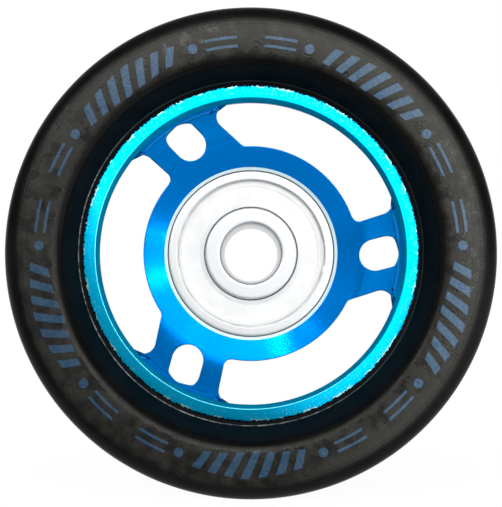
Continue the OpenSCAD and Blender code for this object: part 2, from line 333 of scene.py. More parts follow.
# %% Lower left side
# The first output rises towards the lower left, for the darker print. The second is its narrower core, where
# the spokes get painted shade and the lip and the bevel get painted highlights.
SIDE_REACH, CORE_FROM, CORE_TO = 0.03, 0.4, 0.85
lower_left_group, _, wear_out = new_group("lower_left_side", {}, ["Worn", "Painted_light_side"])
spot_x, _, spot_z = object_xyz(lower_left_group)
side_share = ramp(lower_left_group, maths(lower_left_group, "ADD", spot_x, spot_z), SIDE_REACH, -SIDE_REACH)
lower_left_group.links.new(side_share, wear_out.inputs["Worn"])
lower_left_group.links.new(ramp(lower_left_group, side_share, CORE_FROM, CORE_TO), wear_out.inputs["Painted_light_side"])
print("group:", lower_left_group.name)

# %% [markdown]
# ## The marks on the sidewall
# A tyre like this carries a pale blue print on its front sidewall. Here the print is a plain design of its
# own: five sets of slanting bars, with dots and thin stripes between them, worked out from the radius and
# the turn. A picture could be mapped on as well, but sums in the nodes stay sharp at any size.

# %% Places of the marks
MARK_R, MARK_SETS, FIRST_SET, MARK_SOFT = 26.4, 5, 0.75, 0.03
marks, _, marks_out = new_group("sidewall_marks", {}, ["Ink"])
marks_polar = place(marks, polar).outputs
set_place = maths(marks, "ADD", times(marks, marks_polar["Turn"], float(MARK_SETS)), FIRST_SET)
set_share = maths(marks, "SUBTRACT", maths(marks, "FRACT", set_place), 0.5)
arc_mm = times(marks, set_share, 2 * np.pi * MARK_R / MARK_SETS)
side_mm = maths(marks, "SUBTRACT", marks_polar["Radius"], MARK_R)
arc_away = maths(marks, "ABSOLUTE", arc_mm)
side_away = maths(marks, "ABSOLUTE", side_mm)
print("group:", marks.name, "with", MARK_SETS, "sets")

# %% Bars
BAR_PITCH, BAR_HALF, BAR_LEAN, BAR_RUN = 2.05, 0.5228, 0.45, 7.175
BAR_REACH, BAR_TAPER = 1.75, 0.1


def within(value, edge):
    """1 where the value is less than the edge and 0 where it is more, with a soft step between."""
    return ramp(marks, value, edge + MARK_SOFT, edge - MARK_SOFT)


lean_mm = maths(marks, "ADD", arc_mm, times(marks, side_mm, BAR_LEAN))
lean_away = maths(marks, "ABSOLUTE", lean_mm)
bar_place = maths(marks, "ADD", maths(marks, "DIVIDE", lean_mm, BAR_PITCH), 0.5)
bar_share = maths(marks, "SUBTRACT", maths(marks, "FRACT", bar_place), 0.5)
bar_away = times(marks, maths(marks, "ABSOLUTE", bar_share), BAR_PITCH)
bar_reach = maths(marks, "SUBTRACT", BAR_REACH, times(marks, lean_away, BAR_TAPER))
bar_end = within(maths(marks, "SUBTRACT", side_away, bar_reach), 0.0)
bars = times(marks, times(marks, within(bar_away, BAR_HALF), bar_end), within(lean_away, BAR_RUN))
print("bars every", BAR_PITCH, "mm")

# %% Dots and stripes
DOT_PLACE, DOT_R = 9.2, 0.6
STRIPE_OFF, STRIPE_HALF, STRIPE_FROM, STRIPE_TO = 0.55, 0.17, 10.83, 14.87
PRINT_FROM, PRINT_TO = 20.0, 21.0
dot_away = diagonal(marks, maths(marks, "SUBTRACT", arc_away, DOT_PLACE), side_mm)
stripe_away = maths(marks, "ABSOLUTE", maths(marks, "SUBTRACT", side_away, STRIPE_OFF))
past_dot = ramp(marks, arc_away, STRIPE_FROM - MARK_SOFT, STRIPE_FROM + MARK_SOFT)
stripe_run = times(marks, past_dot, within(arc_away, STRIPE_TO))
stripes = times(marks, within(stripe_away, STRIPE_HALF), stripe_run)
ink = maths(marks, "MAXIMUM", maths(marks, "MAXIMUM", bars, within(dot_away, DOT_R)), stripes)
on_front = ramp(marks, marks_polar["Front"], PRINT_FROM, PRINT_TO)
marks.links.new(times(marks, ink, on_front), marks_out.inputs["Ink"])
print("nodes in the print:", len(marks.nodes))

# %% [markdown]
# ## The urethane
# The tyre is one casting with several skins. The sidewalls are sanded, so they are grey and grainy, and
# towards their edges the sanding fades out. A shader has one gloss all over, so four finishes step it down.
# The slope down to the hub and the shoulders are as they left the mould, and look almost black. The slope's
# faint blue tint is a painted reflection of the blue hub.
# The tread is turned true on a lathe, which leaves fine rings. On the lower left, the lip at the hub carries
# a painted highlight, pale in places.

# %% Sidewall finishes
EDGE_GLOSS = (0.42, 0.33, 0.24, 0.16)
PATCH_WEIGHT = 1.2


def sanded(name, gloss):
    """Sanded urethane with the print on it. The gloss is the same all over, so it is set on the shader.
    The tone is the product of grain and patches, and the bump is their weighted sum."""
    finish, tree, sockets = new_finish(name, Specular_IOR_Level=gloss, Specular_Tint=colour(1.0, 1.0, 0.93))
    speck = place(tree, grain, Size=0.3, Patch=1.5).outputs
    tone = times(tree, spread(tree, speck["Grain"], 0.3, 0.7), spread(tree, speck["Patches"], 0.5, 1.5))
    bare = mix(tree, tone, colour(0.0, 0.0, 0.0), colour(0.0075, 0.007, 0.0058))
    # The print is darker on the lower left.
    lower_left = place(tree, lower_left_group).outputs["Worn"]
    blue = mix(tree, lower_left, colour(0.055, 0.12, 0.205), colour(0.018, 0.06, 0.12))
    cover = times(tree, place(tree, marks).outputs["Ink"], spread(tree, speck["Grain"], 0.62, 0.95))
    paint(tree, sockets, cover, bare, blue)
    roughen(tree, sockets, speck["Patches"], 0.2, 0.44)
    sand = maths(tree, "ADD", speck["Grain"], times(tree, speck["Patches"], PATCH_WEIGHT))
    emboss(tree, sockets, sand, strength=0.2, depth=0.05)
    return finish


sidewalls = [sanded(f"sidewall_sanded_{number}", gloss) for number, gloss in enumerate(EDGE_GLOSS)]
print("finishes:", [finish.name for finish in sidewalls])

# %% Moulded urethane
# The slope's faint blue tint is a painted reflection of the blue hub.
recess, tree, sockets = new_finish("urethane_recess", Specular_IOR_Level=0.04)
dust = place(tree, grain, Size=0.4, Patch=3.0).outputs
paint(tree, sockets, dust["Patches"], colour(0.0014, 0.0022, 0.0028), colour(0.003, 0.004, 0.0048))
roughen(tree, sockets, dust["Grain"], 0.42, 0.56)

moulded, tree, sockets = new_finish("urethane_moulded", Specular_IOR_Level=0.08)
skin = place(tree, grain, Size=0.5, Patch=6.0).outputs
paint(tree, sockets, skin["Patches"], colour(0.002, 0.002, 0.0022), colour(0.0036, 0.0036, 0.0036))
roughen(tree, sockets, skin["Patches"], 0.26, 0.38)
emboss(tree, sockets, skin["Grain"], strength=0.2, depth=0.02)
print("finishes:", recess.name, moulded.name)

# %% Turned tread and lip with a painted highlight
SCUFF_WEIGHT = 0.4
tread, tree, sockets = new_finish("urethane_tread", Specular_IOR_Level=0.35)
scuff = place(tree, grain, Size=0.4, Patch=5.0).outputs
paint(tree, sockets, scuff["Patches"], colour(0.007, 0.007, 0.0068), colour(0.012, 0.0118, 0.0112))
roughen(tree, sockets, scuff["Grain"], 0.48, 0.62)
tool = place(tree, rings, Pitch=0.45, Along=1.0).outputs["Height"]
groove = maths(tree, "ADD", tool, times(tree, scuff["Grain"], SCUFF_WEIGHT))
emboss(tree, sockets, groove, strength=0.4, depth=0.05)

lip, tree, sockets = new_finish("urethane_lip", Specular_IOR_Level=0.3, Roughness=0.3)
# Pale specks on the lip's edge, on the lower left only: a painted highlight.
lip_speck = place(tree, grain, Size=0.25, Patch=0.9).outputs
lip_highlight = times(tree, spread(tree, lip_speck["Patches"], 0.06, 0.9), spread(tree, lip_speck["Grain"], 0.2, 1.0))
lip_highlight = times(tree, lip_highlight, place(tree, lower_left_group).outputs["Painted_light_side"])
paint(tree, sockets, lip_highlight, colour(0.006, 0.007, 0.008), colour(0.36, 0.35, 0.35))
print("finishes:", tread.name, lip.name)

# %% [markdown]
# ## The tyre
# Its section has a narrow lip at the hub, a slope up to each sidewall, round shoulders and a flat tread.
# The front slope is wide and the rear one narrow. Inside, the tyre follows the hub's rim, which opens to
# the rear. The sidewalls aren't quite flat: they bulge a little, which a bevelled cylinder wouldn't show.
# So the section is drawn first, then bulged, and carried round the axle last.

# %% Tyre section
TREAD_R, SIDE_F, SHOULDER = 31.0, 21.5, 2.0
RIM_R, RIM_WALL, RIM_FRONT, RIM_REAR, RIM_BEVEL = 21.5, 1.7, 18.0, -16.0, 0.4
FLARE_F, FLARE = 13.3, np.tan(np.radians(7.5))
FRONT_SLOPE, REAR_SLOPE, LIP_W, LIP_UP = 2.5, 1.3, 0.5, 0.2
RIM_IN = RIM_R - RIM_WALL
rear_corner = (RIM_R + (FLARE_F - RIM_REAR - RIM_BEVEL) * FLARE, RIM_REAR + RIM_BEVEL)
lip_corner = (RIM_R + LIP_W, RIM_FRONT - RIM_BEVEL + LIP_UP)
tyre_section = softened(
    [
        (RIM_R, RIM_FRONT - RIM_BEVEL),
        lip_corner,
        (RIM_R + FRONT_SLOPE, SIDE_F),
        (TREAD_R, SIDE_F),
        (TREAD_R, -SIDE_F),
        (rear_corner[0] + REAR_SLOPE, -SIDE_F),
        (rear_corner[0] + LIP_W, rear_corner[1] - LIP_UP),
        rear_corner,
        (RIM_R, FLARE_F),
    ],
    [0.03, 0.1, 1.0, SHOULDER, SHOULDER, 0.3, 0.12, 0.03, 0.1],
    steps=10,
)
print("tyre section:", len(tyre_section), "points")

# %% Bulge of the sidewalls
CROWN, CREST_R, CROWN_HALF, CROWN_STEP, FLAT = 0.13, 26.4, 2.6, 0.5, 0.001


def crown_fall(radius):
    """How far a sidewall falls back from its crest: by the square of the distance from the crest."""
    return CROWN * ((radius - CREST_R) / CROWN_HALF) ** 2


def crowned(section):
    """The section with bulging sidewalls. Points are added on the flats first, by even shares of each
    stretch, and the fall fades out in a straight line down the slopes and shoulders."""
    ahead = np.roll(section, -1, axis=0)
    on_side = np.minimum(np.abs(section[:, 1]), np.abs(ahead[:, 1])) > SIDE_F - FLAT
    parts = np.where(on_side, np.ceil(lengths(ahead - section)[:, 0] / CROWN_STEP), 1).astype(int)
    shares = [np.linspace(0, 1, count, endpoint=False)[:, None] for count in parts]
    stretches = [a + (b - a) * share for a, b, share in zip(section, ahead, shares)]
    radius, front = np.concatenate(stretches).T
    near = np.clip((np.abs(front) - SIDE_F + SHOULDER) / SHOULDER, 0, 1)
    return np.stack([radius, front - np.sign(front) * near * crown_fall(radius)], axis=1)


tyre_outline = crowned(tyre_section)
print("tyre outline:", len(tyre_outline), "points")

# %% Tyre
EDGE_FALLS, SANDED_R, SLOPE_R = (0.012, 0.05, 0.1, 0.16), 28.5, TREAD_R - SHOULDER - 1
WHEEL_STEPS = 288
OUTER_FLAT, OUTER_EDGE, SLOPE_TOP, TREAD_HAIR, LIP_EDGE_W = 0.005, 0.03, 0.5, 0.03, 0.09
MATT, EDGE_MATT, EDGE_DARK, MOULDED, TREAD, RECESS, LIP = 0, 1, 3, 4, 5, 6, 7


def tyre_finish(radius, front, facing):
    """Sidewalls are sanded, their edges less so, and the outermost ring is tread. The lip's edge carries a
    painted highlight, and slopes and shoulders are as moulded. What counts is how far a face has fallen
    behind the bulge."""
    fallen = SIDE_F - crown_fall(radius) - np.abs(front)
    lip_edge = np.hypot(radius - lip_corner[0], front - lip_corner[1]) < LIP_EDGE_W
    inner_step = np.digitize(fallen, EDGE_FALLS)
    inner_kinds = [fallen < EDGE_FALLS[-1], fallen < SLOPE_TOP, lip_edge]
    inner = np.select(inner_kinds, [inner_step, MOULDED, LIP], RECESS)
    outer_step = np.select([radius < SANDED_R, fallen < OUTER_FLAT], [MATT, EDGE_MATT], EDGE_DARK)
    outer_kinds = [radius > TREAD_R - TREAD_HAIR, fallen < OUTER_EDGE]
    outer = np.select(outer_kinds, [TREAD, outer_step], MOULDED)
    return np.where(radius < SLOPE_R, inner, outer)


tyre_finishes = sidewalls + [moulded, tread, recess, lip]
tyre = make_piece("tyre_cast", [turned(tyre_outline, WHEEL_STEPS)], tyre_finishes, tyre_finish)
dress(tyre, "tyre", "wheel")

# %% [markdown]
# ## The metals
# The hub is aluminium with a blue anodised skin: clear blue dye over metal. A blue coat over a grey shader
# could give that, but a metal with a blue colour does it in one layer.
# The spokes are satin, with upright walls in a dull copy of the blue that is painted shade. Near the rim they
# are painted paler, which is painted light against the shade of the rim's wall, and the fine line that a tool
# left there is painted as a highlight; on the lower left both give way to plain blue, which is painted shade.
# The dished middle is turned, and the tool's rings spread light outwards from the axle, so that finish is
# anisotropic along the radius. The bevel of the rim was cut last; it is painted a much paler cyan than the
# spokes, a painted sheen, with a ragged outer edge and a painted highlight along its inner edge on the lower
# left. The bearing seats are bare metal, and their chamfers are painted pale as a highlight.

# %% Anodised spokes
SATIN_R, PALE_R, SPOKE_LOW_F, SPOKE_HIGH_F = 17.6, 19.6, 11.0, 12.0
LINE_R, LINE_OUT, LINE_IN = 19.39, 0.09, 0.04


def metal(name, roughness, **constants):
    """A metal shader with one roughness all over."""
    return new_finish(name, Metallic=1.0, Roughness=roughness, **constants)


def lathe_bump(tree, sockets, pitch, strength, along=0.0):
    """Fine tool rings as a bump, across the radius or, with along at 1, along the axle."""
    height = place(tree, rings, Pitch=pitch, Along=along).outputs["Height"]
    emboss(tree, sockets, height, strength, depth=0.01)
    return height


anodised, tree, sockets = metal("hub_anodised", roughness=0.42)
cloud = place(tree, grain, Size=0.3, Patch=5.0).outputs["Patches"]
dyed = mix(tree, cloud, colour(0.0, 0.13, 0.42), colour(0.0, 0.15, 0.48))
spoke_polar = place(tree, polar).outputs
near_front = ramp(tree, spoke_polar["Front"], SPOKE_LOW_F, SPOKE_HIGH_F)
# Painted light: the face is painted paler towards the rim, against the shade of the rim's wall.
painted_light_near_rim = times(tree, ramp(tree, spoke_polar["Radius"], SATIN_R, PALE_R), near_front)
# On the lower left, the paler rim and the line give way to plain blue: painted shade. Elsewhere the line is a
# painted highlight over the real fine groove.
spoke_shade_side = place(tree, lower_left_group).outputs["Painted_light_side"]
rim_painted_light = mix(tree, spoke_shade_side, colour(0.0, 0.28, 0.8), colour(0.0, 0.19, 0.58))
line_painted_highlight = mix(tree, spoke_shade_side, colour(0.04, 0.4, 0.86), colour(0.0, 0.19, 0.58))
off_line = maths(tree, "ABSOLUTE", maths(tree, "SUBTRACT", spoke_polar["Radius"], LINE_R))
paint(tree, sockets, ramp(tree, off_line, LINE_OUT, LINE_IN), mix(tree, painted_light_near_rim, dyed, rim_painted_light), line_painted_highlight)
lathe_bump(tree, sockets, pitch=0.12, strength=0.12)
print("finish:", anodised.name)

# %% Walls and dish
# Upright walls take a dull, non-metal copy of the blue, so that they stay dark: painted shade.
shaded, tree, sockets = new_finish("hub_wall", Specular_IOR_Level=0.0)
cast = place(tree, grain, Size=0.25, Patch=3.0).outputs
paint(tree, sockets, cast["Patches"], colour(0.0, 0.26, 0.44), colour(0.0, 0.34, 0.54))
roughen(tree, sockets, cast["Grain"], 0.45, 0.6)

dished, tree, sockets = metal("hub_dished", roughness=0.2, Anisotropic=0.85, Anisotropic_Rotation=0.25)
around = add(tree, "ShaderNodeTangent", direction_type="RADIAL", axis="Y").outputs[0]
tree.links.new(around, sockets["Tangent"])
tool = lathe_bump(tree, sockets, pitch=0.1, strength=0.1)
paint(tree, sockets, tool, colour(0.0, 0.23, 0.8), colour(0.0, 0.28, 0.94))
print("finishes:", shaded.name, dished.name)

# %% Bevel with a painted sheen
RAGGED = 0.11
FLASH_FROM, FLASH_TO = RIM_R - 0.2, RIM_R - 0.12
BURR_FROM, BURR_TO = RIM_R - 0.36, RIM_R - 0.24
CHIP_FROM, CHIP_TO = RIM_R - 1.7, RIM_R - 0.3
BURR_LOW, BURR_HIGH, CHIP_LOW, CHIP_HIGH = 0.62, 0.75, 0.97, 1.0
INNER_FROM, INNER_TO = RIM_IN + 0.16, RIM_IN + 0.05
# The much paler cyan of the bevel is a painted sheen of its smoother cut.
bevel_painted_sheen, tree, sockets = metal("hub_cut_painted_sheen", roughness=0.3)
spark = place(tree, grain, Size=0.16, Patch=2.0).outputs
tooth = place(tree, grain, Size=0.34, Patch=0.14).outputs
edge = place(tree, polar).outputs["Radius"]
ragged = maths(tree, "ADD", edge, spread(tree, tooth["Grain"], -RAGGED, RAGGED))
burr = times(tree, ramp(tree, ragged, BURR_FROM, BURR_TO), ramp(tree, spark["Patches"], BURR_LOW, BURR_HIGH))
chips = times(tree, ramp(tree, tooth["Patches"], CHIP_LOW, CHIP_HIGH), ramp(tree, edge, CHIP_FROM, CHIP_TO))
inner_edge = ramp(tree, edge, INNER_FROM, INNER_TO)
# A painted highlight along the bevel's inner edge, on the lower left only.
inner_edge_highlight = times(tree, inner_edge, place(tree, lower_left_group).outputs["Painted_light_side"])
cut_sheen_dye = mix(tree, spark["Grain"], colour(0.0, 0.54, 0.97), colour(0.0, 0.62, 1.0))
cut_sheen_dye = mix(tree, maths(tree, "MAXIMUM", burr, chips), cut_sheen_dye, colour(0.5, 1.0, 1.0))
cut_sheen_dye = mix(tree, inner_edge_highlight, cut_sheen_dye, colour(0.2, 0.9, 1.0))
paint(tree, sockets, ramp(tree, ragged, FLASH_FROM, FLASH_TO), cut_sheen_dye, colour(0.002, 0.006, 0.01))
emboss(tree, sockets, spark["Grain"], strength=0.3, depth=0.03)
print("finish:", bevel_painted_sheen.name)

# %% Bare seats and mouths with a painted highlight
bare_seat, tree, sockets = metal("seat_bare", roughness=0.4)
tool = lathe_bump(tree, sockets, pitch=0.09, strength=0.2, along=0.5)
paint(tree, sockets, tool, colour(0.1, 0.1, 0.1), colour(0.16, 0.16, 0.155))

# The chamfers of the mouths are aluminium painted a pale non-metal colour: a painted highlight.
mouth_highlight, tree, sockets = new_finish("mouth_chamfer_highlight", Specular_IOR_Level=0.5, Roughness=0.3)
tool = lathe_bump(tree, sockets, pitch=0.08, strength=0.1)
paint(tree, sockets, tool, colour(0.66, 0.86, 0.92), colour(0.78, 0.93, 0.96))
print("finishes:", bare_seat.name, mouth_highlight.name)

# %% [markdown]
# ## The hub's turned parts
# The rim is a thin band with a bevel at each edge. The boss is a sleeve with two bearing seats and a
# shoulder between them, and its front face dips towards the axle. Both could be cylinders cut by other
# cylinders, but as outlines carried round the axle they have round edges and even faces at once.

# %% Rim
rim_outline = softened(
    [
        (RIM_IN, RIM_FRONT),
        (RIM_R, RIM_FRONT - RIM_BEVEL),
        (RIM_R, FLARE_F),
        rear_corner,
        (rear_corner[0] - RIM_WALL + RIM_BEVEL * FLARE, RIM_REAR),
        (RIM_IN, FLARE_F),
    ],
    [0.14, 0.03, 0.1, 0.1, 0.14, 0.3],
)
print("rim outline:", len(rim_outline), "points")

# %% Boss
SEAT_R, MOUTH_R, BOSS_R, STOP_R = 11.01, 11.41, 14.16, 10.21
BOSS_F, STOP_F, MOUTH_DEEP = 12.3, 5.0, 0.4
DISH_R, DISH_W, DISH_DEPTH, DISH_SOFT, DISH_MIDDLE = 15.21, 3.8, 0.7, 0.45, 13.4
EDGE = 0.1
WEB_F = BOSS_F + DISH_DEPTH


def dish_front(radius):
    """The dish falls evenly towards the axle from its edge, and is flat outside. The two meet in a soft bend:
    the fall is the logarithm of one plus an exponential, which is nearly a straight line on either side."""
    fall = DISH_SOFT * np.logaddexp(0, (DISH_R - radius) / DISH_SOFT)
    return WEB_F - DISH_DEPTH * fall / DISH_W


boss_outline = softened(
    [
        (SEAT_R, BOSS_F - MOUTH_DEEP),
        (MOUTH_R, dish_front(MOUTH_R)),
        (DISH_MIDDLE, dish_front(DISH_MIDDLE)),
        (BOSS_R, dish_front(BOSS_R)),
        (BOSS_R, -BOSS_F),
        (MOUTH_R, -BOSS_F),
        (SEAT_R, MOUTH_DEEP - BOSS_F),
        (SEAT_R, -STOP_F),
        (STOP_R, -STOP_F),
        (STOP_R, STOP_F),
        (SEAT_R, STOP_F),
    ],
    [0.03, 0.04, 0.3, EDGE, 0.2, 0.05, 0.05, 0.05, 0.1, 0.1, 0.05],
)
print("boss outline:", len(boss_outline), "points")

# %% [markdown]
# ## The spokes
# Seen from the front, a spoke is a slanting bar that opens into the boss and the rim with round fillets,
# and it has a slot through it. Booleans could cut it, but they leave long thin faces that shade badly.
# So its skin is a grid too: one way runs round the outline, the other way goes up the slot's wall,
# over the rounded edge, across the face, over the outer edge and back underneath.

# %% Lines and arcs of a spoke
SPOKE_W, SLANT, CROSS_R = 9.5, np.radians(18), 16.6
along = np.array([np.cos(SLANT), np.sin(SLANT)])
across = np.array([-np.sin(SLANT), np.cos(SLANT)])


def beside_edge(side, gap, radius):
    """The point at a radius on a line beside one edge of the spoke: the line's distance from the axle gives
    the way across, and the root of the squares' difference gives the way along."""
    off = SPOKE_W / 2 - side * CROSS_R * np.sin(SLANT) + gap
    return side * off * across + np.sqrt(radius ** 2 - off ** 2) * along


def arc(centre, first, last, count):
    """Points of the shorter arc about a centre from one point to another: even steps of its angle."""
    start = np.arctan2(*(first - centre)[::-1])
    sweep = (np.arctan2(*(last - centre)[::-1]) - start + np.pi) % (2 * np.pi) - np.pi
    angle = start + sweep * np.linspace(0, 1, count)
    return centre + np.linalg.norm(first - centre) * np.stack([np.cos(angle), np.sin(angle)], axis=1)


print("the spoke leans by", round(np.degrees(SLANT)), "degrees")

# %% Sides of a spoke
RIM_FILLET, BOSS_FILLET, SINK, HAIR = 1.6, 1.0, 0.05, 0.01
TAIL_TURN, TAIL_DIP, TAIL_SINK = np.radians(2.4), 0.06, 0.03
TAIL_N, FOOT_N, EDGE_N, HEAD_N = 4, 20, 28, 16
tail_share = np.linspace(1, 0, TAIL_N + 1)[:-1]


def spoke_side(side):
    """One side from boss to rim: a tail along the boss, the boss fillet, the straight edge and the rim
    fillet. The tail dips under the boss by the square of its share. With each point comes the direction
    into the metal: away from a fillet's centre, or square to the edge."""
    low = beside_edge(side, BOSS_FILLET - SINK, BOSS_R - HAIR + BOSS_FILLET)
    high = beside_edge(side, RIM_FILLET - SINK, RIM_IN + SINK - RIM_FILLET)
    low_turn = low / np.linalg.norm(low)
    high_turn = high / np.linalg.norm(high)
    foot = arc(low, low - BOSS_FILLET * low_turn, low - side * BOSS_FILLET * across, FOOT_N)
    head = arc(high, high - side * RIM_FILLET * across, high + RIM_FILLET * high_turn, HEAD_N)
    edge = foot[-1] + (head[0] - foot[-1]) * np.linspace(0, 1, EDGE_N + 2)[1:-1, None]
    tail_angle = side * TAIL_TURN * tail_share + np.arctan2(low[1], low[0])
    tail_way = np.stack([np.cos(tail_angle), np.sin(tail_angle)], axis=1)
    tail = (BOSS_R - HAIR - TAIL_DIP * tail_share[:, None] ** 2) * tail_way
    edge_in = np.repeat(-side * across[None], EDGE_N, axis=0)
    inwards = [-tail_way, (foot - low) / BOSS_FILLET, edge_in, (head - high) / RIM_FILLET]
    return np.concatenate([tail, foot, edge, head]), np.concatenate(inwards)


(below, below_in), (above, above_in) = spoke_side(-1), spoke_side(1)
print("a spoke's side:", len(below), "points")

# %% Outline of a spoke
IN_RIM_R, IN_BOSS_R, END_N = RIM_IN + 0.8, BOSS_R - 0.6, 30


def end_arc(first, last, radius):
    """An arc about the axle at a radius, from the turn of one point to the turn of another."""
    first, last = (radius * point / np.linalg.norm(point) for point in (first, last))
    return arc(np.zeros(2), first, last, END_N)


no_way = np.zeros((END_N, 2))
in_rim = end_arc(below[-1], above[-1], IN_RIM_R)
in_boss = end_arc(above[0], below[0], IN_BOSS_R)
spoke_loop = np.concatenate([below, in_rim, above[::-1], in_boss])
inward = np.concatenate([below_in, no_way, above_in[::-1], no_way])
open_edge = lengths(inward)[:, 0]
side_sunk = np.concatenate([TAIL_SINK * tail_share, np.zeros(len(below) - TAIL_N)])
sunk = np.concatenate([side_sunk, np.zeros(END_N), side_sunk[::-1], np.full(END_N, TAIL_SINK)])
print("spoke outline:", len(spoke_loop), "points")

# %% Slot in a spoke
SLOT_W, SLOT_RUN, SLOT_R, SLOT_SLANT, SLOT_LAND = 4.1, 1.6, 17.1, np.radians(14.5), 0.3
KINK = 0.3
SIDE_TURNS, RIM_TURN, BOSS_TURN = (132, 129, 122, 91, 55), 53, 46
slot_middle = np.array([SLOT_R, 0.0])


def slot_loop(directions):
    """Where rays from the slot's middle meet its outline: an oblong with round ends, cut off before the rim.
    The shorter of the two ways counts, as a soft minimum: a logarithm of summed exponentials."""
    axis = np.array([np.cos(SLOT_SLANT), np.sin(SLOT_SLANT)])
    run = np.abs(directions @ axis)
    wide = np.sqrt(np.maximum(1 - run ** 2, 1e-12))
    half, radius = SLOT_RUN / 2, SLOT_W / 2
    to_side = radius / wide
    to_end = run * half + np.sqrt(np.maximum((run * half) ** 2 + radius ** 2 - half ** 2, 0))
    reach = np.where(to_side * run < half, to_side, to_end)
    lead = directions @ slot_middle
    to_rim = -lead + np.sqrt(lead ** 2 + (RIM_IN - SLOT_LAND) ** 2 - SLOT_R ** 2)
    shorter = -KINK * np.logaddexp(-reach / KINK, -to_rim / KINK)
    return slot_middle + directions * shorter[:, None]


side_ends = np.cumsum([0, TAIL_N, FOOT_N - 1, EDGE_N + 1, HEAD_N - 1])
side_turn = np.interp(np.arange(len(below)), side_ends, SIDE_TURNS)
rim_turn = np.linspace(-RIM_TURN, RIM_TURN, END_N)
boss_turn = np.linspace(180 - BOSS_TURN, 180 + BOSS_TURN, END_N)
slot_turn = np.radians(np.concatenate([-side_turn, rim_turn, side_turn[::-1], boss_turn]))
slot_edge = slot_loop(np.stack([np.cos(slot_turn), np.sin(slot_turn)], axis=1))
print("slot outline:", len(slot_edge), "points")

# %% Front and rear of a spoke
LINE_W, LINE_DEEP, PROUD = 0.07, 0.02, 0.005
WEB_T, SPOKE_RIM_T = 8.0, 2.4
WEB_REAR = WEB_F - WEB_T
CONE_IN, CONE_OUT = (SEAT_R + BOSS_R) / 2, RIM_IN + RIM_WALL / 2


def face_front(spot, groove=0.0):
    """Front of a spoke's face: a hair above the dish, with a share of the fine groove that the rim's tool
    left, a bell curve about its radius."""
    radius = np.linalg.norm(spot, axis=-1)
    return dish_front(radius) + PROUD - groove * LINE_DEEP * np.exp(-((radius - LINE_R) / LINE_W) ** 2)


def face_rear(spot):
    """Rear of a spoke: a cone, deep at the boss and thin at the rim."""
    share = (np.linalg.norm(spot, axis=-1) - CONE_IN) / (CONE_OUT - CONE_IN)
    return WEB_REAR + (WEB_F - SPOKE_RIM_T - WEB_REAR) * share


print("a spoke is", round(face_front(slot_middle) - face_rear(slot_middle), 2), "mm deep at its slot")

# %% Skin of a spoke
DRAFT, GROOVE_FADE, SINK_FADE = 0.32, 8, 4
BEND_N, FACE_N, WALL_N, UNDER_N = 6, 58, 4, 4
rays = (spoke_loop - slot_edge) / lengths(spoke_loop - slot_edge)
bend = np.linspace(0, np.pi / 2, BEND_N)
over_slot = slot_edge + EDGE * rays * (1 - np.cos(bend))[:, None, None]
over_side = spoke_loop + EDGE * inward * (1 - np.sin(bend))[:, None, None]
face_mix = np.linspace(0, 1, FACE_N + 2)[1:-1, None, None]
face = over_slot[-1] * (1 - face_mix) + over_side[0] * face_mix
down = np.linspace(1, 0, WALL_N)[1:, None]
slot_wall = slot_edge + DRAFT * rays * (1 - down[::-1])[..., None]
side_wall = spoke_loop + DRAFT * inward * (1 - down)[..., None]
under_mix = np.linspace(0, 1, UNDER_N + 2)[1:-1, None, None]
under = side_wall[-1] * (1 - under_mix) + slot_wall[0] * under_mix
groove_share = 1 - np.abs(2 * face_mix[..., 0] - 1) ** GROOVE_FADE
side_top = face_front(spoke_loop) - EDGE - sunk
fronts = [
    face_rear(slot_wall) + (face_front(slot_edge) - EDGE - face_rear(slot_wall)) * down[::-1],
    face_front(over_slot[1:]) - EDGE * (1 - np.sin(bend[1:]))[:, None],
    face_front(face, groove_share) - sunk * face_mix[..., 0] ** SINK_FADE,
    face_front(over_side) - EDGE * open_edge * (1 - np.cos(bend))[:, None] - sunk,
    face_rear(side_wall) + (side_top - face_rear(side_wall)) * down,
    face_rear(under),
]
spoke_place = np.concatenate([slot_wall, over_slot[1:], face, over_side, side_wall, under])
spoke_front = np.concatenate(fronts)
print("spoke grid:", spoke_place.shape)

# %% Hub
SPOKE_TURNS = np.radians([0, 120, 240])
SEAT_EDGE, BOSS_HAIR, FACE_EDGE, BEVEL_HAIR, WALL_HAIR = 0.12, 0.02, 0.1, 0.02, 0.05
LEVEL, UPRIGHT = 0.6, 0.5
SATIN, DISH, BEVEL, SEAT, WALL, MOUTH = range(6)


def spoke_skin(turn):
    """The spoke's grid turned about the axle: the turn is added to each point's own angle."""
    radius = np.linalg.norm(spoke_place, axis=-1)
    angle = np.arctan2(spoke_place[..., 1], spoke_place[..., 0]) + turn
    return ring_skin(on_axle(radius, angle, spoke_front))


def hub_finish(radius, front, facing):
    """The mouths' chamfers are painted pale as a highlight, the seats are bare, the front face is turned, the
    front bevel is painted bright as a sheen, and upright walls near the front take the dull copy of the blue
    that is painted shade. The rest is anodised."""
    at_mouth = np.abs(front) > BOSS_F - MOUTH_DEEP
    chamfer = (radius > SEAT_R + SEAT_EDGE) & (radius < MOUTH_R) & at_mouth
    bare_metal = (radius < MOUTH_R) & (np.abs(front) < BOSS_F + BOSS_HAIR)
    on_face = (radius < DISH_R - FACE_EDGE) & (front > BOSS_F - MOUTH_DEEP) & (facing > LEVEL)
    on_bevel = (front > RIM_FRONT - RIM_BEVEL - BEVEL_HAIR) & (facing > LEVEL)
    dull_wall = (radius > BOSS_R + WALL_HAIR) & (front > WEB_REAR) & (np.abs(facing) < UPRIGHT)
    kinds = [chamfer, bare_metal, on_face, on_bevel, dull_wall]
    return np.select(kinds, [MOUTH, SEAT, DISH, BEVEL, WALL], SATIN)


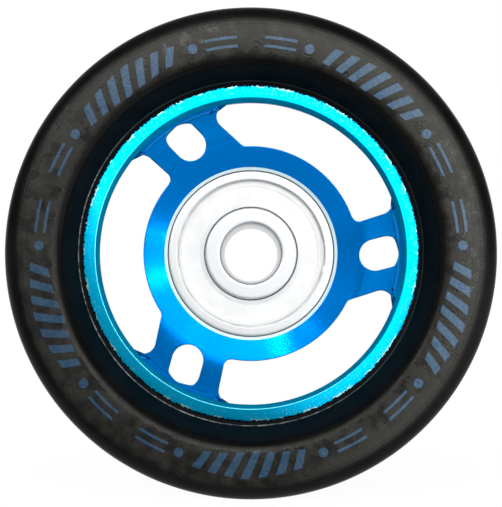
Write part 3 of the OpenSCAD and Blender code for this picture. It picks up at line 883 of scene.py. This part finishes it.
spoke_skins = [spoke_skin(turn) for turn in SPOKE_TURNS]
hub_skins = [turned(rim_outline, WHEEL_STEPS), turned(boss_outline)] + spoke_skins
hub_finishes = [anodised, dished, bevel_painted_sheen, bare_seat, shaded, mouth_highlight]
hub = make_piece("hub_machined", hub_skins, hub_finishes, hub_finish)
dress(hub, "hub", "wheel")

# %% [markdown]
# ## The bearings
# Each bearing has a ground steel outer and inner ring, polished balls in a nylon cage, and a thin white
# shield on each side, held by a wire clip. The rings and shields are outlines carried round the axle, like
# the rim. A clip could be a curve with a bevel, but as a circle carried round it can shrink at both ends.
# The balls, the cages and the spacer stay as packed, since hardly any of them shows. They only get a finish.

# %% Steel and enamel
ground, tree, sockets = metal("ring_ground", roughness=0.45)
tool = lathe_bump(tree, sockets, pitch=0.07, strength=0.12)
paint(tree, sockets, tool, colour(0.7, 0.71, 0.72), colour(0.82, 0.83, 0.84))

shield_white, tree, sockets = new_finish("shield_enamel", Specular_IOR_Level=0.4)
fleck = place(tree, grain, Size=0.15, Patch=2.5).outputs
paint(tree, sockets, fleck["Patches"], colour(0.79, 0.79, 0.785), colour(0.84, 0.84, 0.835))
roughen(tree, sockets, fleck["Grain"], 0.36, 0.46)
emboss(tree, sockets, fleck["Grain"], strength=0.15, depth=0.02)

wire, tree, sockets = metal("clip_wire", roughness=0.3)
drawn = place(tree, grain, Size=0.12, Patch=1.5).outputs["Patches"]
paint(tree, sockets, drawn, colour(0.5, 0.51, 0.52), colour(0.68, 0.69, 0.7))
print("finishes:", ground.name, shield_white.name, wire.name)

# %% Balls, cages and spacer
polished, tree, sockets = metal("ball_polished", roughness=0.08)
haze = place(tree, grain, Size=0.2, Patch=1.0).outputs["Patches"]
paint(tree, sockets, haze, colour(0.76, 0.76, 0.77), colour(0.84, 0.84, 0.85))

nylon, tree, sockets = new_finish("cage_nylon", Roughness=0.5)
cloudy = place(tree, grain, Size=0.2, Patch=1.2).outputs["Patches"]
paint(tree, sockets, cloudy, colour(0.7, 0.66, 0.56), colour(0.78, 0.75, 0.67))

tube, tree, sockets = metal("spacer_turned", roughness=0.3)
tool = lathe_bump(tree, sockets, pitch=0.12, strength=0.25, along=1.0)
paint(tree, sockets, tool, colour(0.56, 0.57, 0.6), colour(0.68, 0.69, 0.7))

packed_finishes = {"axle_spacer": tube, "front_bearing_balls": polished, "rear_bearing_balls": polished,
                   "front_bearing_cage": nylon, "rear_bearing_cage": nylon}
for node, finish in packed_finishes.items():
    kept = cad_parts[node]
    kept.data.materials.clear()
    kept.data.materials.append(finish)
    print(node, "has the finish", finish.name)

# %% Outlines of the rings
HALF_W, BEARING_R, BORE_R = 3.5, 11.0, 4.0
OUTER_LAND, INNER_LAND, TRACK_DEEP, TRACK_EDGE, TRACK_FLOOR = 8.93, 6.07, 0.55, 1.4, 0.8
SHIELD_R, SHIELD_F = 9.8, 2.46
OUTER_TRACK, INNER_TRACK = OUTER_LAND + TRACK_DEEP, INNER_LAND - TRACK_DEEP
outer_ring = softened(
    [
        (OUTER_LAND, SHIELD_F), (SHIELD_R, SHIELD_F), (SHIELD_R, HALF_W), (BEARING_R, HALF_W),
        (BEARING_R, -HALF_W), (SHIELD_R, -HALF_W), (SHIELD_R, -SHIELD_F), (OUTER_LAND, -SHIELD_F),
        (OUTER_LAND, -TRACK_EDGE), (OUTER_TRACK, -TRACK_FLOOR), (OUTER_TRACK, TRACK_FLOOR),
        (OUTER_LAND, TRACK_EDGE),
    ],
    [0.05, 0.05, 0.12, 0.35, 0.35, 0.12, 0.05, 0.05, 0.05, 0.4, 0.4, 0.05],
)
inner_ring = softened(
    [
        (BORE_R, HALF_W), (INNER_LAND, HALF_W), (INNER_LAND, TRACK_EDGE), (INNER_TRACK, TRACK_FLOOR),
        (INNER_TRACK, -TRACK_FLOOR), (INNER_LAND, -TRACK_EDGE), (INNER_LAND, -HALF_W), (BORE_R, -HALF_W),
    ],
    [0.35, 0.3, 0.05, 0.4, 0.4, 0.05, 0.3, 0.35],
)
print("ring outlines:", len(outer_ring), len(inner_ring), "points")

# %% Shield and clip
SHIELD_IN, SHIELD_OUT = INNER_LAND + 0.15, SHIELD_R - 0.02
SHIELD_TOP, BEAD_FLOOR = SHIELD_F + 0.3, SHIELD_F + 0.18
INNER_BEAD, OUTER_BEAD, BEAD_SLOPE = 0.35, 0.75, 0.2
CLIP_F, CLIP_WIRE, CLIP_GAP = 2.98, 0.2, np.radians(14)
CLIP_N, WIRE_N, TAPER = 120, 12, 14
shield = softened(
    [
        (SHIELD_IN, SHIELD_F), (SHIELD_OUT, SHIELD_F), (SHIELD_OUT, SHIELD_TOP),
        (SHIELD_OUT - OUTER_BEAD, SHIELD_TOP), (SHIELD_OUT - OUTER_BEAD - BEAD_SLOPE, BEAD_FLOOR),
        (SHIELD_IN + INNER_BEAD + BEAD_SLOPE, BEAD_FLOOR), (SHIELD_IN + INNER_BEAD, SHIELD_TOP),
        (SHIELD_IN, SHIELD_TOP),
    ],
    [0.05, 0.05, 0.08, 0.08, 0.08, 0.08, 0.08, 0.08],
)


def clip_skin(middle_front):
    """A round wire bent into an open ring: a circle of wire carried round. Its radius follows the root of a
    steep sine, held at one, so that it shrinks to nothing at both ends."""
    turn = np.linspace(CLIP_GAP / 2, 2 * np.pi - CLIP_GAP / 2, CLIP_N)[:, None]
    thick = CLIP_WIRE * np.minimum(1, np.sin(np.linspace(0, np.pi, CLIP_N)) * TAPER)[:, None] ** 0.5
    bend = np.linspace(0, 2 * np.pi, WIRE_N, endpoint=False)[None]
    return ring_skin(on_axle(SHIELD_R + thick * np.cos(bend), turn, middle_front + thick * np.sin(bend)))


print("shield outline:", len(shield), "points")

# %% Two bearings
BEARING_F, BORE_STEPS = 8.5, 128
for side, middle in (("front", BEARING_F), ("rear", -BEARING_F)):
    name = side + "_bearing_"
    outwards = np.array([1, np.sign(middle)])
    shift = np.array([0, middle])
    piece = make_piece(name + "outer_race", [turned(outer_ring * outwards + shift)], [ground])
    dress(piece, name + "outer_ring", "wheel")
    piece = make_piece(name + "inner_race", [turned(inner_ring * outwards + shift, BORE_STEPS)], [ground])
    dress(piece, name + "inner_ring", "axle_stack")
    for place_name, flip in (("outboard", 1), ("inboard", -1)):
        facing = np.array([1, np.sign(middle) * flip])
        piece = make_piece(name + place_name + "_plate", [turned(shield * facing + shift)], [shield_white])
        dress(piece, name + place_name + "_shield", "wheel")
        piece = make_piece(name + place_name + "_wire", [clip_skin(middle + CLIP_F * facing[1])], [wire])
        dress(piece, name + place_name + "_clip", "wheel")

# %% [markdown]
# ## The studio
# The wheel stands on a pale sheet that curves up behind it. A plane and a wall could be joined, but one grid
# bends without a seam. The sheet glows by itself, so that it comes out white, and the wheel's faint shadow
# still falls on it. Shiny pieces mirror the floor before them, so its glow isn't even: a sector at the front
# left hardly glows and keeps the rim's bevel dark there, and one at the front right glows more.
# Far in front, the sheet fades into the level of the world.

# %% Sheet
FLOOR_Z, SHEET_HALF, BEND_FROM, BEND_R = cad_box[0][2], 1.6, 0.5, 0.3
WALL_HEIGHTS = (0.5, 0.8, 1.2, 1.6)
FLOOR_N, CURVE_N, ACROSS_N = 30, 16, 9
floor_y = np.linspace(-SHEET_HALF, BEND_FROM, FLOOR_N)
curve = np.linspace(0, np.pi / 2, CURVE_N)[1:]
wall_y = np.full(len(WALL_HEIGHTS), BEND_FROM + BEND_R)
sheet_x = np.linspace(-SHEET_HALF, SHEET_HALF, ACROSS_N)[:, None]
sheet_y = np.concatenate([floor_y, BEND_FROM + BEND_R * np.sin(curve), wall_y])[None]
sheet_z = FLOOR_Z + np.concatenate([np.zeros(FLOOR_N), BEND_R * (1 - np.cos(curve)), WALL_HEIGHTS])[None]
sheet_points = np.stack(np.broadcast_arrays(sheet_x, sheet_y, sheet_z), axis=-1)
index = np.arange(sheet_x.size * sheet_y.size).reshape(sheet_x.size, sheet_y.size)
sheet_quads = np.stack([index[:-1, :-1], index[1:, :-1], index[1:, 1:], index[:-1, 1:]], axis=-1)
print("sheet:", sheet_points.shape, "with its floor at", round(FLOOR_Z, 4))

# %% Paper
WORLD_LEVEL = 0.3
WHEEL_FOOT = (0.003, -0.0245, FLOOR_Z)
DARK_SECTOR, BRIGHT_SECTOR = (243, 62, 46), (330, 41, 18)
GLOW_SHARE, DARK_SHARE, GLOW_LEVEL, BRIGHT_LEVEL = 0.88, 0.03, 1.1, 2.2
BEFORE_FROM, BEFORE_TO, FAR_FROM, FAR_TO, FRONT_TO = -0.03, -0.045, 0.25, 1.1, -0.2
paper = bpy.data.materials.new("studio_paper")
paper.use_nodes = True
tree = paper.node_tree
tree.nodes.remove(tree.nodes["Principled BSDF"])
sheet_place = add(tree, "ShaderNodeTexCoord").outputs["Object"]
sheet_depth = object_xyz(tree)[1]


def vector_maths(operation, *values):
    """One sum on vectors or sockets."""
    return add(tree, "ShaderNodeVectorMath", dict(enumerate(values)), operation=operation).outputs


heading = vector_maths("NORMALIZE", vector_maths("SUBTRACT", sheet_place, WHEEL_FOOT)[0])[0]


def sector(middle, wide, narrow):
    """A sector of the sheet seen from the wheel's front foot: the cosine of the angle from its middle line,
    through a soft step from the wide to the narrow half angle, in degrees."""
    middle, wide, narrow = np.radians([middle, wide, narrow])
    cosine = vector_maths("DOT_PRODUCT", heading, (np.cos(middle), np.sin(middle), 0.0))[1]
    return ramp(tree, cosine, np.cos(wide), np.cos(narrow))


glow = spread(tree, sector(*DARK_SECTOR), GLOW_SHARE, DARK_SHARE)
front_right = times(tree, sector(*BRIGHT_SECTOR), ramp(tree, sheet_depth, BEFORE_FROM, BEFORE_TO))
lit = add(tree, "ShaderNodeBsdfDiffuse", {"Color": colour(0.45, 0.45, 0.45)}).outputs[0]
own_level = spread(tree, front_right, GLOW_LEVEL, BRIGHT_LEVEL)
own = add(tree, "ShaderNodeEmission", {"Strength": own_level}).outputs[0]
near_paper = add(tree, "ShaderNodeMixShader", {0: glow, 1: lit, 2: own}).outputs[0]
far_away = ramp(tree, vector_maths("LENGTH", sheet_place)[1], FAR_FROM, FAR_TO)
far_front = times(tree, far_away, ramp(tree, sheet_depth, 0.0, FRONT_TO))
horizon = add(tree, "ShaderNodeEmission", {"Strength": WORLD_LEVEL}).outputs[0]
paper_mix = add(tree, "ShaderNodeMixShader", {0: far_front, 1: near_paper, 2: horizon}).outputs[0]
tree.links.new(paper_mix, tree.nodes["Material Output"].inputs["Surface"])
sheet = make_piece("studio_sheet", [(sheet_points.reshape(-1, 3), sheet_quads.reshape(-1, 4))], [paper])

# %% [markdown]
# ## The light
# The photographed wheel is lit from above and from the right, and what lies low on the left is dark.
# A sky picture could light it, but lamps can be placed one by one, each for one task. So an even grey world
# gives the shade, two round soft boxes stand close to the camera, at the right and above, and five more make
# an arch farther out, which the bevel of the rim mirrors. Small spots and weak fills give the turned dish its
# bright and dark parts.

# %% World
world = bpy.data.worlds.new("studio_world")
scene.world = world
world.use_nodes = True
backing = world.node_tree.nodes["Background"].inputs
backing["Color"].default_value = colour(1.0, 1.0, 1.0)
backing["Strength"].default_value = WORLD_LEVEL
print("world:", world.name)

# %% Lamps
LAMP_AWAY, LAMP_D = 0.6, 0.26
ARCH_TURNS, ARCH_OFF, ARCH_LEVEL = (4, 50, 95, 138, 149), 42, 2.8


def lamp(name, turn, off_axis, brightness, wide=LAMP_D, away=LAMP_AWAY):
    """A round soft box at a turn around the axle and an angle off it, facing the wheel. Its power is
    brightness times its area times pi, so brightness is what a mirror would show of it."""
    data = bpy.data.lights.new(name, "AREA")
    data.shape = "DISK"
    data.size = wide
    data.energy = brightness * np.pi * np.pi * wide ** 2 / 4
    light = bpy.data.objects.new(name, data)
    turn, tilt = np.radians([turn, off_axis])
    light.location = away * Vector((np.sin(tilt) * np.cos(turn), -np.cos(tilt), np.sin(tilt) * np.sin(turn)))
    light.rotation_euler = (-light.location).to_track_quat("-Z", "Y").to_euler()
    scene.collection.objects.link(light)
    print(name, "at", [round(v, 3) for v in light.location])


lamp("right_box", turn=26, off_axis=23, brightness=2.1)
lamp("top_box", turn=84, off_axis=23, brightness=2.4)
for number, arch_turn in enumerate(ARCH_TURNS):
    lamp(f"arch_box_{number}", arch_turn, ARCH_OFF, ARCH_LEVEL)
lamp("upper_spot", turn=107, off_axis=20, brightness=60, wide=0.025)
lamp("upper_fill", turn=126, off_axis=20, brightness=6.0, wide=0.05)
lamp("right_spot", turn=16, off_axis=20, brightness=55, wide=0.025)
lamp("low_spot", turn=-10, off_axis=19, brightness=62, wide=0.011, away=0.35)
lamp("left_fill", turn=168, off_axis=20, brightness=0.4, wide=0.14)

# %% [markdown]
# ## The camera
# The photograph looks along the axle from close by, about 17 cm in front of the wheel's middle, and from a
# touch below. Its scale gives the focal length: 1209.6 pixels in a frame 507 pixels high.

# %% Camera
FRAME_H, FOCAL_PX = 507, 1209.6
VIEW_DISTANCE, VIEW_RISE = 0.172, np.radians(-0.6)
view = bpy.data.cameras.new("photo_view")
view.sensor_fit = "VERTICAL"
view.sensor_height = 24.0
view.lens = view.sensor_height * FOCAL_PX / FRAME_H
view.clip_start = 0.005
camera = bpy.data.objects.new("photo_view", view)
aim = Vector((0.0, -BOSS_F * MM, 0.0))
reach = VIEW_DISTANCE - BOSS_F * MM
camera.location = aim + reach * Vector((0.0, -np.cos(VIEW_RISE), np.sin(VIEW_RISE)))
camera.rotation_euler = (aim - camera.location).to_track_quat("-Z", "Y").to_euler()
scene.collection.objects.link(camera)
scene.camera = camera
print("camera at", tuple(round(v, 4) for v in camera.location), "lens", round(view.lens, 2))
